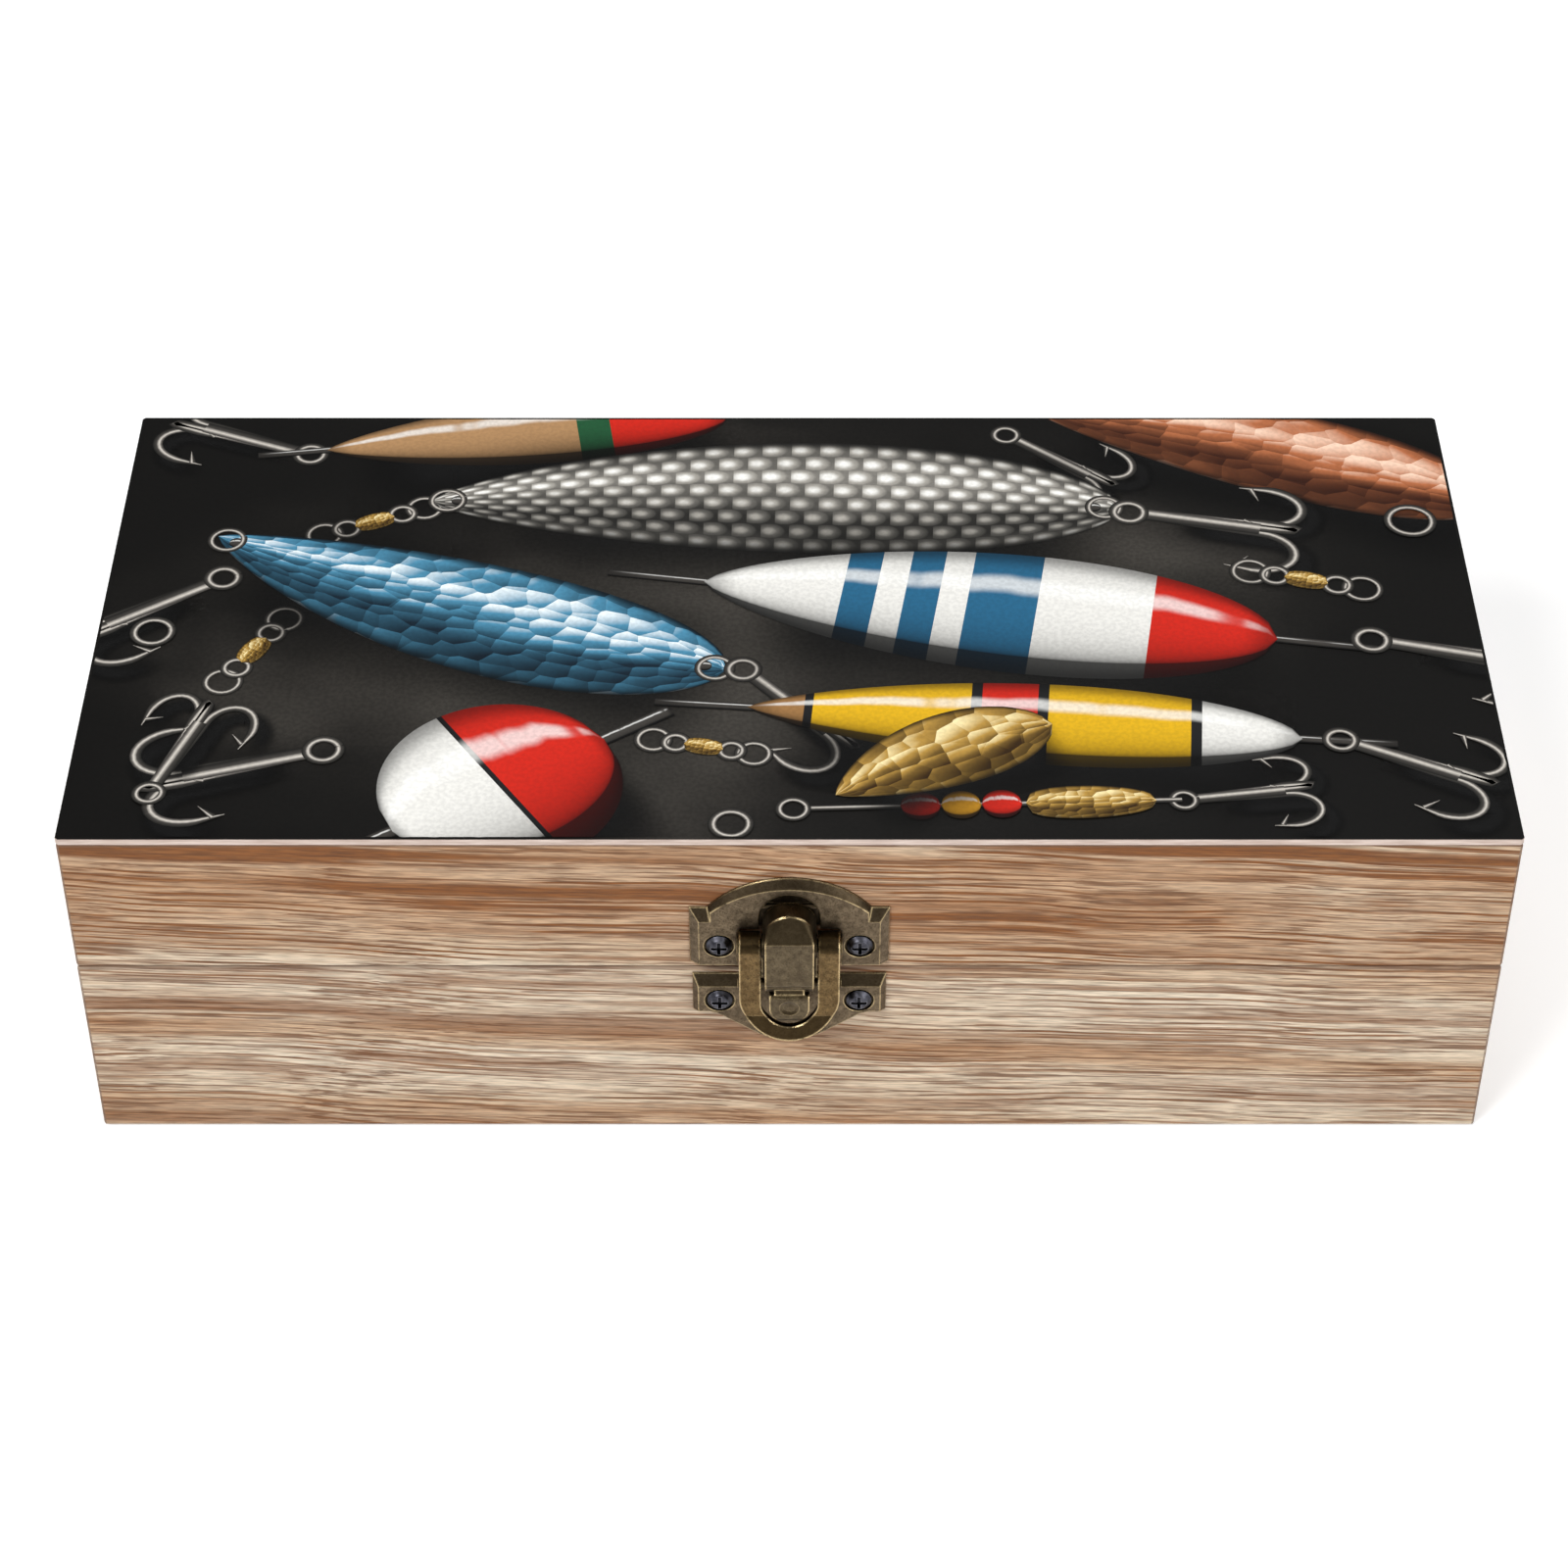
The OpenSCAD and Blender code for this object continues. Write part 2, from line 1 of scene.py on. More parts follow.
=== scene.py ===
# Hinged wooden display box with a printed lid and an antique bronze toggle latch.
# Metres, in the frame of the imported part: +X right, +Y towards the hinges, +Z up.
import math
import bpy
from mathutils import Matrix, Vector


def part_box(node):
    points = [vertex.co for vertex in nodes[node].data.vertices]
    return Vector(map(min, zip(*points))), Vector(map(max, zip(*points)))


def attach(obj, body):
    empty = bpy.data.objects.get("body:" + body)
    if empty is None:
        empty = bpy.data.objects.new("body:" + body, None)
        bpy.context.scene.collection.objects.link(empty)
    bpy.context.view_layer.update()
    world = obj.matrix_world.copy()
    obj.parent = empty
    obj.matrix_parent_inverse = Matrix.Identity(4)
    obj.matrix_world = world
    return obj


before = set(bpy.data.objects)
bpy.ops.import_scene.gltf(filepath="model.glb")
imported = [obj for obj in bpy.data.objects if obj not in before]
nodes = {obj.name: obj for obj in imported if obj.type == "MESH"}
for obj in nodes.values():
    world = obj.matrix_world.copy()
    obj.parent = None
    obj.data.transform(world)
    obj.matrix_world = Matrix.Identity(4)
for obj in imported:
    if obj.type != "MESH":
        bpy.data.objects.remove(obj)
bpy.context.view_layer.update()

MM = 0.001
HALF_LENGTH, HALF_DEPTH, LID_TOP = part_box("lid_print_sheet")[1]     # the centred sheet's far corner


# Wiring of materials

class Bench:
    """One node tree, with short calls that add a node and return its output socket. Called b below."""

    def __init__(self, tree):
        self.tree = tree

    def feed(self, socket, value):
        if isinstance(value, bpy.types.NodeSocket):
            self.tree.links.new(value, socket)
        elif value is not None:
            socket.default_value = value

    def node(self, kind, **settings):
        made = self.tree.nodes.new(kind)
        for key, value in settings.items():
            setattr(made, key, value)
        return made

    def math(self, operation, a, b=None, c=None, clamp=False):
        made = self.node("ShaderNodeMath", operation=operation, use_clamp=clamp)
        for socket, value in zip(made.inputs, (a, b, c)):
            self.feed(socket, value)
        return made.outputs[0]

    def vector(self, operation, a, b=None, scale=None):
        made = self.node("ShaderNodeVectorMath", operation=operation)
        self.feed(made.inputs[0], a)
        self.feed(made.inputs[1], b)
        if scale is not None:
            self.feed(made.inputs["Scale"], scale)
        return made.outputs["Value"] if operation in ("DOT_PRODUCT", "LENGTH") else made.outputs[0]

    def times(self, a, b):
        return self.math("MULTIPLY", a, b)

    def around_zero(self, noise, reach):
        """A noise of 0 to 1 moved to swing evenly round zero."""
        return self.math("MULTIPLY", self.math("SUBTRACT", noise, 0.5), reach)

    def split(self, vector):
        made = self.node("ShaderNodeSeparateXYZ")
        self.feed(made.inputs[0], vector)
        return made.outputs

    def combine(self, x, y, z=0.0):
        made = self.node("ShaderNodeCombineXYZ")
        for socket, value in zip(made.inputs, (x, y, z)):
            self.feed(socket, value)
        return made.outputs[0]

    def place(self, vector, location=(0, 0, 0), turn=(0, 0, 0), scale=(1, 1, 1)):
        made = self.node("ShaderNodeMapping")
        self.feed(made.inputs["Vector"], vector)
        made.inputs["Location"].default_value = location
        made.inputs["Rotation"].default_value = turn
        made.inputs["Scale"].default_value = scale
        return made.outputs[0]

    def noise(self, vector, scale=1.0, detail=2.0, roughness=0.5):
        made = self.node("ShaderNodeTexNoise")
        self.feed(made.inputs["Vector"], vector)
        self.feed(made.inputs["Scale"], scale)
        made.inputs["Detail"].default_value = detail
        made.inputs["Roughness"].default_value = roughness
        return made.outputs[0]

    def spread(self, value, low, high, to_low=0.0, to_high=1.0, smooth=True):
        made = self.node("ShaderNodeMapRange", interpolation_type="SMOOTHSTEP" if smooth else "LINEAR")
        for socket, number in zip(made.inputs, (value, low, high, to_low, to_high)):
            self.feed(socket, number)
        return made.outputs[0]

    def blend(self, amount, a, b):
        made = self.node("ShaderNodeMix", data_type="RGBA")
        self.feed(made.inputs[0], amount)
        self.feed(made.inputs[6], a)
        self.feed(made.inputs[7], b)
        return made.outputs[2]

    def ramp(self, value, stops, interpolation="LINEAR"):
        made = self.node("ShaderNodeValToRGB")
        made.color_ramp.interpolation = interpolation
        marks = made.color_ramp.elements
        while len(marks) < len(stops):
            marks.new(0.5)
        for mark, (position, colour) in zip(marks, stops):
            mark.position = position
            mark.color = (*colour, 1.0)
        self.feed(made.inputs[0], value)
        return made.outputs[0]

    def bump(self, height, strength, distance, normal=None):
        made = self.node("ShaderNodeBump")
        made.inputs["Strength"].default_value = strength
        made.inputs["Distance"].default_value = distance
        self.feed(made.inputs["Height"], height)
        self.feed(made.inputs["Normal"], normal)
        return made.outputs[0]

    def use(self, group, **values):
        made = self.node("ShaderNodeGroup")
        made.node_tree = group
        for key, value in values.items():
            self.feed(made.inputs[key.replace("_", " ")], value)
        return made.outputs


KINDS = {"vector": "NodeSocketVector", "number": "NodeSocketFloat", "colour": "NodeSocketColor"}


def new_group(name, inputs, outputs):
    """A shader node group with named inputs and outputs, ready to be wired."""
    tree = bpy.data.node_groups.new(name, "ShaderNodeTree")
    for label, kind, start in inputs:
        socket = tree.interface.new_socket(name=label, in_out="INPUT", socket_type=KINDS[kind])
        if start is not None:
            socket.default_value = start
    for label, kind in outputs:
        tree.interface.new_socket(name=label, in_out="OUTPUT", socket_type=KINDS[kind])
    bench = Bench(tree)
    given = bench.node("NodeGroupInput").outputs
    result = bench.node("NodeGroupOutput").inputs
    return tree, bench, given, result


def new_material(name):
    """A material, the bench for its nodes, and its shader."""
    material = bpy.data.materials.new(name)
    material.use_nodes = True
    shader = next(n for n in material.node_tree.nodes if n.type == "BSDF_PRINCIPLED")
    return material, Bench(material.node_tree), shader


def object_place(bench):
    """Object coordinates, in metres."""
    return bench.node("ShaderNodeTexCoord").outputs["Object"]


# Shared effects

GROWTH_LINE = (0.200, 0.073, 0.020, 1)
STREAK_BROWN = (0.255, 0.115, 0.044, 1)
FLECK_BROWN = (0.140, 0.052, 0.017, 1)
PALE_TO_BROWN = [(0.0, (0.690, 0.585, 0.452)), (0.35, (0.605, 0.478, 0.342)),
                 (0.7, (0.475, 0.302, 0.180)), (1.0, (0.350, 0.190, 0.098))]
VEINS_PER_METRE = 5200.0 / (2 * math.pi)


def make_wood_grain():
    """Straight grain along the vector's X. Tone 0 is pale and 1 is brown."""
    tree, b, given, result = new_group(
        "wood_grain",
        [("Place", "vector", None), ("Tone", "number", 0.5), ("Line Strength", "number", 0.6),
         ("Fibre Strength", "number", 0.5)],
        [("Colour", "colour"), ("Roughness", "number"), ("Height", "number")])
    place = given["Place"]

    # the grain's slow sway across its length, in metres
    sway = b.noise(b.place(place, scale=(9, 9, 9)))
    ripple = b.noise(b.place(place, scale=(45, 60, 60)))
    lift = b.math("ADD", b.around_zero(sway, 0.007), b.around_zero(ripple, 0.0006))
    bent = b.vector("ADD", place, b.combine(0.0, lift, lift))

    # growth lines: fine, broad and evenly spaced ones, each fading in and out along the board
    fine = b.spread(b.noise(b.place(bent, scale=(5, 640, 640)), 1.0, 3.0, 0.65), 0.50, 0.62)
    faded = b.spread(b.noise(b.place(place, location=(8, 1, 2), scale=(18, 120, 120)), 1.0, 1.0), 0.36, 0.58)
    broad = b.spread(b.noise(b.place(bent, location=(3, 5, 1), scale=(4, 170, 170))), 0.53, 0.66)
    _, side, up = b.split(bent)
    drift = b.noise(b.place(place, location=(1, 4, 6), scale=(5, 150, 150)))
    turns = VEINS_PER_METRE * 2 * math.pi
    phase = b.math("MULTIPLY_ADD", b.math("ADD", side, up), turns, b.times(drift, 12.0))
    calm = b.spread(b.noise(b.place(place, location=(5, 7, 0), scale=(26, 210, 210))), 0.42, 0.62)
    veins = b.times(b.spread(b.math("SINE", phase), 0.20, 0.95), calm)
    lines = b.math("MAXIMUM", b.times(b.times(fine, faded), 0.7), b.times(broad, 0.8))
    lines = b.math("MAXIMUM", lines, veins)

    # short streaks, dark flecks and the fibre itself
    streak = b.spread(b.noise(b.place(bent, scale=(24, 1450, 1450)), 1.0, 2.5, 0.65), 0.47, 0.64)
    fleck = b.noise(b.place(bent, location=(2, 0, 7), scale=(40, 2400, 2400)), 1.0, 3.0, 0.6)
    fleck = b.spread(fleck, 0.525, 0.60)
    fibre = b.noise(b.place(place, scale=(260, 3600, 3600)), 1.0, 2.0, 0.6)

    patch = b.noise(b.place(place, scale=(22, 70, 70)))
    colour = b.ramp(b.math("ADD", given["Tone"], b.around_zero(patch, 0.7), clamp=True), PALE_TO_BROWN)
    colour = b.blend(b.times(lines, given["Line Strength"]), colour, GROWTH_LINE)
    colour = b.blend(b.times(streak, given["Fibre Strength"]), colour, STREAK_BROWN)
    colour = b.blend(b.times(fleck, 0.76), colour, FLECK_BROWN)
    b.feed(result["Colour"], b.vector("SCALE", colour, scale=b.spread(fibre, 0.32, 0.68, 0.76, 1.20)))
    b.feed(result["Roughness"], b.spread(fibre, 0.3, 0.7, 0.58, 0.72))
    relief = b.math("MULTIPLY_ADD", fibre, 0.45, b.times(streak, -0.3))
    b.feed(result["Height"], b.math("MULTIPLY_ADD", b.math("SUBTRACT", 1.0, fleck), 0.6, relief))
    return tree


def make_arris():
    """1 on the eased edges, where a face points between the main directions, and 0 on the broad faces."""
    tree, b, given, result = new_group("arris", [], [("Mask", "number")])
    facing = b.vector("ABSOLUTE", b.node("ShaderNodeNewGeometry").outputs["True Normal"])
    x, y, z = b.split(facing)
    most = b.math("MAXIMUM", x, b.math("MAXIMUM", y, z))
    b.feed(result["Mask"], b.spread(most, 0.96, 0.80))
    return tree


def make_wear_and_shade():
    """Masks for aged metal: Edge is 1 where plating is rubbed off, and Hollow is 1 in hollows and gaps, for
    painted shade.
    """
    tree, b, given, result = new_group(
        "wear_and_shade", [("Reach", "number", 0.0003), ("Depth", "number", 0.002), ("Break Up", "number", 900.0)],
        [("Edge", "number"), ("Hollow", "number"), ("Normal", "vector")])
    bevel = b.node("ShaderNodeBevel", samples=6)
    b.feed(bevel.inputs["Radius"], given["Reach"])
    flat = b.node("ShaderNodeNewGeometry").outputs["Normal"]
    turn = b.math("SUBTRACT", 1.0, b.vector("DOT_PRODUCT", bevel.outputs[0], flat))
    worn = b.noise(b.node("ShaderNodeTexCoord").outputs["Object"], given["Break Up"], 3.0)
    # ambient occlusion: the mask for painted shade in hollows and gaps between parts
    around = b.node("ShaderNodeAmbientOcclusion", samples=6)
    b.feed(around.inputs["Distance"], given["Depth"])
    hollow = b.spread(around.outputs["AO"], 0.74, 0.22)
    edge = b.times(b.spread(turn, 0.004, 0.09), b.spread(worn, 0.22, 0.48))
    b.feed(result["Edge"], b.times(edge, b.spread(hollow, 0.65, 0.15)))
    b.feed(result["Hollow"], hollow)
    b.feed(result["Normal"], bevel.outputs[0])
    return tree


def make_round_light():
    """Light on a printed round body: UV Y runs across it, and the light comes from high UV Y."""
    tree, b, given, result = new_group(
        "printed_round_light", [("Place", "vector", None), ("Gloss", "number", 0.6)],
        [("Shade", "number"), ("Glint", "number"), ("Across", "number"), ("Along", "number")])
    along, across, _ = b.split(given["Place"])
    side = b.math("MULTIPLY_ADD", across, 2.0, -1.0)
    high = b.math("SUBTRACT", side, 0.28)
    body = b.math("SQRT", b.math("MAXIMUM", b.math("SUBTRACT", 1.0, b.times(high, high)), 0.0))
    edge = b.spread(b.math("ABSOLUTE", side), 1.0, 0.70)
    shade = b.times(b.math("MULTIPLY_ADD", body, 0.95, 0.05), b.math("MULTIPLY_ADD", edge, 0.6, 0.4))
    ends = b.times(b.spread(along, 0.0, 0.07), b.spread(along, 1.0, 0.93))
    shade = b.times(shade, b.math("MULTIPLY_ADD", ends, 0.55, 0.45))
    wander = b.noise(b.combine(b.times(along, 7.0), 0.0))
    middle = b.math("ADD", b.around_zero(wander, 0.25), 0.46)
    gap = b.math("ABSOLUTE", b.math("SUBTRACT", side, middle))
    glint = b.times(b.spread(gap, 0.20, 0.05), b.spread(wander, 0.34, 0.46))
    glint = b.times(b.times(glint, ends), given["Gloss"])
    for key, value in (("Shade", shade), ("Glint", glint), ("Across", side), ("Along", along)):
        b.feed(result[key], value)
    return tree


wood_grain = make_wood_grain()
arris = make_arris()
wear_and_shade = make_wear_and_shade()
round_light = make_round_light()


# Wood

SEAM_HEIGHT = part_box("base_front")[1][2]
ARRIS_BROWN = (0.150, 0.095, 0.065, 1)
# the front's tone at heights in millimetres: brown lid, pale base, with one brown band low down
FRONT_TONES = [(0, 0.55), (2.0, 0.62), (4.0, 0.26), (8, 0.10), (13.6, 0.10), (15.2, 0.60), (17.2, 0.72),
               (19.5, 0.26), (24, 0.10), (29.5, 0.10), (33, 0.48), (38, 0.58), (45, 0.70), (50, 0.55),
               (53.6, 0.78), (57, 0.52)]


def front_pattern(b, place):
    """The front boards' tone and line strength by height. The bands climb a little to the right."""
    x, _, z = b.split(place)
    sway = b.noise(b.place(place, scale=(14, 1, 14)))
    level = b.math("ADD", b.math("MULTIPLY_ADD", x, 0.045, z), b.around_zero(sway, 0.006))
    top = FRONT_TONES[-1][0]
    tone = b.ramp(b.times(level, 1 / (top * MM)), [(height / top, (t, t, t)) for height, t in FRONT_TONES])
    return tone, b.spread(z, SEAM_HEIGHT - 0.0025, SEAM_HEIGHT + 0.0045, 0.9, 1.5)


def make_board(name, turn=(0, 0, 0), shift=(0, 0, 0), tone=0.35, lines=0.9):
    """Boards whose grain runs along X once the pattern is turned. Tone None gives the front's own pattern."""
    material, b, shader = new_material(name)
    place = object_place(b)
    if tone is None:
        tone, lines = front_pattern(b, place)
    grain = b.use(wood_grain, Place=b.place(place, location=shift, turn=turn), Tone=tone,
                  Line_Strength=lines, Fibre_Strength=0.4)
    edge = b.times(b.use(arris)["Mask"], 0.55)
    b.feed(shader.inputs["Base Color"], b.blend(edge, grain["Colour"], ARRIS_BROWN))
    b.feed(shader.inputs["Roughness"], grain["Roughness"])
    b.feed(shader.inputs["Normal"], b.bump(grain["Height"], 0.35, 0.00012))
    shader.inputs["Specular IOR Level"].default_value = 0.3
    return material


quarter = math.pi / 2
front_wood = make_board("front_wood", turn=(0, math.radians(-2.2), 0), tone=None)
back_wood = make_board("back_wood", turn=(0, math.radians(1.4), 0), shift=(0.31, 0.4, 0.12), tone=0.38)
side_wood = make_board("side_wood", turn=(0, 0, quarter), shift=(0.7, 0.2, 0.33), tone=0.42)
floor_wood = make_board("floor_wood", turn=(quarter, 0, 0), shift=(0.2, 0.9, 0.6), tone=0.16, lines=0.4)


# Antique bronze and dark screws

SPECK_BROWN = (0.030, 0.021, 0.011, 1)
# painted dark reflection for the bronze's upward faces
PAINTED_DARK_REFLECTION = (0.022, 0.015, 0.007, 1)
# painted shade for hollows and gaps between parts
PAINTED_HOLLOW_SHADE = (0.012, 0.008, 0.004, 1)
RUBBED_GOLD = (0.82, 0.63, 0.34, 1)
# painted shade for the screws' cross recess
PAINTED_RECESS_SHADE = (0.003, 0.003, 0.004, 1)
RUBBED_STEEL = (0.28, 0.28, 0.32, 1)


def make_bronze(name, dark, rubbed, wear=0.9, rough=0.42, reach=0.00035, dark_reflection=0.75):
    """Aged plating: olive brown, golden on rubbed edges, painted shade in hollows, a painted dark reflection
    on upward slopes.
    """
    material, b, shader = new_material(name)
    place = object_place(b)
    mottle = b.noise(place, 900.0, 5.0, 0.75)
    fine = b.noise(b.place(place, location=(4, 2, 9)), 4200.0, 2.0)
    smear = b.noise(b.place(place, scale=(300, 300, 1500)), 1.0, 2.0)
    colour = b.blend(b.spread(mottle, 0.32, 0.70), dark, rubbed)
    colour = b.blend(b.spread(fine, 0.52, 0.70, 0.0, 0.65), colour, SPECK_BROWN)
    worn = b.use(wear_and_shade, Reach=reach, Depth=0.0022)
    # painted reflection: faces that tilt upward are darkened, as if they mirrored a dim ceiling
    lean = b.split(b.node("ShaderNodeTexCoord").outputs["Normal"])[2]
    colour = b.blend(b.spread(lean, 0.03, 0.30, 0.0, dark_reflection), colour, PAINTED_DARK_REFLECTION)
    # painted shade: near black in hollows and between parts
    colour = b.blend(b.times(worn["Hollow"], 0.92), colour, PAINTED_HOLLOW_SHADE)
    colour = b.blend(b.times(worn["Edge"], wear), colour, RUBBED_GOLD)
    b.feed(shader.inputs["Base Color"], colour)
    shader.inputs["Metallic"].default_value = 1.0
    roughness = b.times(b.math("ADD", fine, smear), 0.5)
    roughness = b.spread(roughness, 0.3, 0.7, rough - 0.08, rough + 0.14)
    b.feed(shader.inputs["Roughness"], b.math("SUBTRACT", roughness, b.times(worn["Edge"], 0.12)))
    pitting = b.math("ADD", mottle, b.times(fine, 0.3))
    b.feed(shader.inputs["Normal"], b.bump(pitting, 0.25, 0.00006, worn["Normal"]))
    return material


plate_bronze = make_bronze("plate_bronze", (0.082, 0.060, 0.038, 1), (0.175, 0.132, 0.084, 1), wear=0.75)
lever_bronze = make_bronze("lever_bronze", (0.085, 0.052, 0.022, 1), (0.180, 0.119, 0.052, 1),
                           wear=0.95, rough=0.34, reach=0.00042, dark_reflection=0.8)
link_bronze = make_bronze("link_bronze", (0.066, 0.049, 0.030, 1), (0.135, 0.105, 0.064, 1),
                          wear=0.95, rough=0.34, reach=0.00042, dark_reflection=0.8)
hinge_bronze = make_bronze("hinge_bronze", (0.100, 0.072, 0.038, 1), (0.215, 0.160, 0.088, 1),
                           wear=0.8, dark_reflection=0.2)
pin_bronze = make_bronze("pin_bronze", (0.090, 0.065, 0.035, 1), (0.180, 0.130, 0.070, 1),
                         wear=0.5, reach=0.0002, dark_reflection=0.2)


def make_screw_steel():
    """Blackened steel with painted shade in its cross recess, and worn edges."""
    material, b, shader = new_material("screw_steel")
    mottle = b.noise(object_place(b), 900.0, 3.0)
    worn = b.use(wear_and_shade, Reach=0.00018, Depth=0.0014)
    colour = b.ramp(mottle, [(0.35, (0.036, 0.036, 0.044)), (0.70, (0.100, 0.100, 0.118))])
    # painted shade: the cross recess and other hollows darkened to near black
    colour = b.blend(b.spread(worn["Hollow"], 0.05, 0.55), colour, PAINTED_RECESS_SHADE)
    colour = b.blend(b.times(worn["Edge"], 0.7), colour, RUBBED_STEEL)
    b.feed(shader.inputs["Base Color"], colour)
    shader.inputs["Metallic"].default_value = 1.0
    b.feed(shader.inputs["Roughness"], b.spread(mottle, 0.3, 0.7, 0.30, 0.46))
    b.feed(shader.inputs["Normal"], worn["Normal"])
    return material


screw_steel = make_screw_steel()


# The printed sheet

PRINT_SHINE = 0.10


def print_dot(b):
    """The fine dots of the print, even over the whole sheet."""
    return b.noise(b.place(object_place(b), scale=(1500, 1500, 1)), 1.0, 1.0)


def make_print_ground():
    """The print's ground: near black at the edges, and a browner charcoal towards the middle."""
    tree, b, given, result = new_group(
        "print_ground", [("Place", "vector", None)],
        [("Colour", "colour"), ("Roughness", "number")])
    place = given["Place"]
    x, y, _ = b.split(place)
    cloud = b.noise(b.place(place, scale=(17, 24, 1)), 1.0, 3.0, 0.5)
    away = b.vector("LENGTH", b.combine(b.times(x, 10.5), b.times(y, 19.0)))
    glow = b.spread(b.math("ADD", away, b.around_zero(cloud, 1.5)), 1.15, 0.25)
    colour = b.ramp(glow, [(0.0, (0.0024, 0.0021, 0.0017)), (0.30, (0.0070, 0.0062, 0.0052)),
                           (0.55, (0.0230, 0.0205, 0.0175)), (0.85, (0.0460, 0.0415, 0.0355))])
    dot = print_dot(b)
    b.feed(result["Colour"], b.vector("SCALE", colour, scale=b.spread(dot, 0.3, 0.7, 0.86, 1.14)))
    b.feed(result["Roughness"], b.spread(dot, 0.3, 0.7, 0.42, 0.54))
    return tree


print_ground = make_print_ground()


def make_printed_sheet():
    """The dark print on the top face, and the board's pale core at its edges."""
    material, b, shader = new_material("printed_sheet")
    place = object_place(b)
    ground = b.use(print_ground, Place=place)
    facing = b.split(b.node("ShaderNodeNewGeometry").outputs["True Normal"])[2]
    top = b.spread(facing, 0.80, 0.95)
    core = b.noise(b.place(place, scale=(220, 220, 2600)), 1.0, 2.0)
    pale = b.ramp(core, [(0.3, (0.50, 0.39, 0.335)), (0.7, (0.70, 0.585, 0.52))])
    b.feed(shader.inputs["Base Color"], b.blend(top, pale, ground["Colour"]))
    b.feed(shader.inputs["Roughness"], b.spread(top, 0.0, 1.0, 0.7, 0.46, False))
    shader.inputs["Specular IOR Level"].default_value = PRINT_SHINE
    return material


printed_sheet = make_printed_sheet()


def printed_light(b):
    """The printed light of a round body, on the motif's own UV map."""
    return b.use(round_light, Place=b.node("ShaderNodeTexCoord").outputs["UV"])


def make_ink(name, paint):
    """A printed motif's ink. paint(bench, light) returns its colour under the printed light."""
    material, b, shader = new_material(name)
    dot = print_dot(b)
    colour = paint(b, printed_light(b))
    b.feed(shader.inputs["Base Color"], b.vector("SCALE", colour, scale=b.spread(dot, 0.3, 0.7, 0.93, 1.07)))
    b.feed(shader.inputs["Roughness"], b.spread(dot, 0.3, 0.7, 0.42, 0.54))
    shader.inputs["Specular IOR Level"].default_value = PRINT_SHINE
    return material


GLOSS_WHITE = (0.95, 0.95, 0.92, 1)


def bands(stops):
    """Painted bands along a round body, with the printed gloss over them."""
    def paint(b, light):
        shaded = b.vector("SCALE", b.ramp(light["Along"], stops, "CONSTANT"), scale=light["Shade"])
        return b.blend(light["Glint"], shaded, GLOSS_WHITE)
    return paint


def facets(b, along, across, count, rows):
    """Hammered dimples: each cell of a metal blade is bright on one side and dark on the other."""
    spot = b.combine(b.times(along, count), b.times(across, rows))
    cell = b.node("ShaderNodeTexVoronoi")
    b.feed(cell.inputs["Vector"], spot)
    cell.inputs["Scale"].default_value = 1.0
    cell.inputs["Randomness"].default_value = 0.6
    lean = b.vector("DOT_PRODUCT", b.vector("SUBTRACT", spot, cell.outputs["Position"]), (-0.7, 0.9, 0.0))
    return b.math("MULTIPLY_ADD", lean, 0.75, 0.5)


def scales(b, along, across, count, rows):
    """Pressed fish scales in offset rows: a bright boss with a dark crescent behind it."""
    v = b.times(across, rows)
    row = b.math("FLOOR", v)
    u = b.math("ADD", b.times(along, count), b.times(b.math("PINGPONG", row, 1.0), 0.5))
    fu, fv = b.math("FRACT", u), b.math("FRACT", v)
    away = b.vector("LENGTH", b.combine(b.math("SUBTRACT", fu, 0.30), b.math("SUBTRACT", fv, 0.5)))
    boss = b.spread(away, 0.50, 0.05, 0.25, 1.0)
    return b.times(boss, b.spread(away, 0.60, 0.46, 0.12, 1.0))


def plated(dark, pale, glint, pattern=None, amount=0.5, count=12.0, rows=3.0):
    """A metal blade: dark and pale reflections that sweep across it, with a pressed pattern."""
    def paint(b, light):
        across, along = light["Across"], light["Along"]
        wave = b.noise(b.combine(b.times(along, 2.2), b.times(across, 1.4)), 1.0, 2.0)
        sweep = b.math("SINE", b.math("MULTIPLY_ADD", b.math("ADD", across, b.times(wave, 0.9)), 3.7, -1.6))
        level = b.math("MULTIPLY_ADD", sweep, 0.46, 0.46)
        if pattern:
            pressed = pattern(b, along, across, count, rows)
            level = b.math("ADD", b.times(level, 1 - amount), b.times(pressed, amount))
        colour = b.ramp(level, [(0.05, dark), (0.36, tuple(0.7 * p + 0.3 * q for p, q in zip(dark, pale))),
                                (0.62, pale), (0.90, glint)])
        edge = b.times(b.spread(b.math("ABSOLUTE", across), 1.0, 0.84, 0.15, 1.0),
                       b.spread(across, -1.0, -0.35, 0.35, 1.0))
        return b.vector("SCALE", colour, scale=edge)
    return paint


def make_ink_shadow():
    """Soft printed shadow: black that fades out towards the edges of its strip."""
    material, b, shader = new_material("ink_shadow")
    light = printed_light(b)
    ends = b.times(b.spread(light["Along"], 0.0, 0.22), b.spread(light["Along"], 1.0, 0.78))
    soft = b.times(b.spread(b.math("ABSOLUTE", light["Across"]), 0.98, 0.10), ends)
    dot = print_dot(b)
    b.feed(shader.inputs["Alpha"], b.times(soft, 0.88))
    soot = b.ramp(dot, [(0.3, (0.004, 0.004, 0.004)), (0.7, (0.006, 0.006, 0.006))])
    b.feed(shader.inputs["Base Color"], soot)
    shader.inputs["Roughness"].default_value = 0.5
    shader.inputs["Specular IOR Level"].default_value = PRINT_SHINE
    material.blend_method = "BLEND"
    return material


